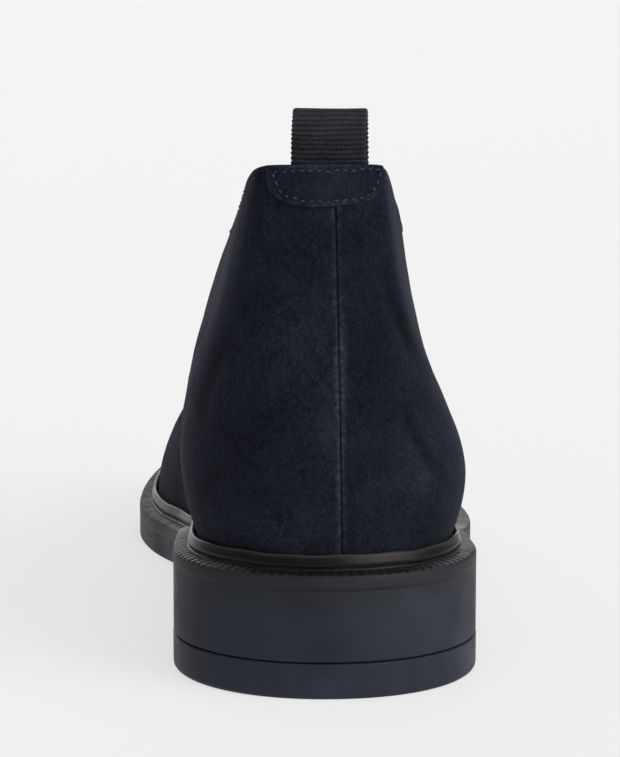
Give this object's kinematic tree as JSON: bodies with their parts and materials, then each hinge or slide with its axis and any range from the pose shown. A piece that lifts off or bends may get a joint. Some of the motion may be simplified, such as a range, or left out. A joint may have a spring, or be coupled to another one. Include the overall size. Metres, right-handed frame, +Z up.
{
  "type": "chukka boot",
  "caption": "Dark navy suede chukka boot for the right foot, with a storm welt, a black rubber sole with a block heel and a ribbed pull loop.",
  "frame": {"origin": "On the floor under the middle of the boot's length and of the sole's whole width.", "axes": "+Y towards the toe, +X to the outer side of the right foot, +Z up."},
  "size_m": [0.1046, 0.3, 0.1473],
  "materials": {
    "sole_rubber": "satin moulded rubber with fine scuffs",
    "welt_rubber": "brown-black rubber, ribbed flange and glossy bead",
    "insole_leather": "smooth tan sock leather",
    "suede": "napped navy suede",
    "lace_cotton": "round braided waxed cotton",
    "webbing": "black grosgrain webbing with cross ribs"
  },
  "bodies": {
    "root": {"outsole": "sole_rubber", "top_lift": "sole_rubber", "welt": "welt_rubber", "insole": "insole_leather", "upper": "suede", "tongue": "suede", "lace": "lace_cotton", "pull_loop": "webbing"}
  },
  "joints": []
}
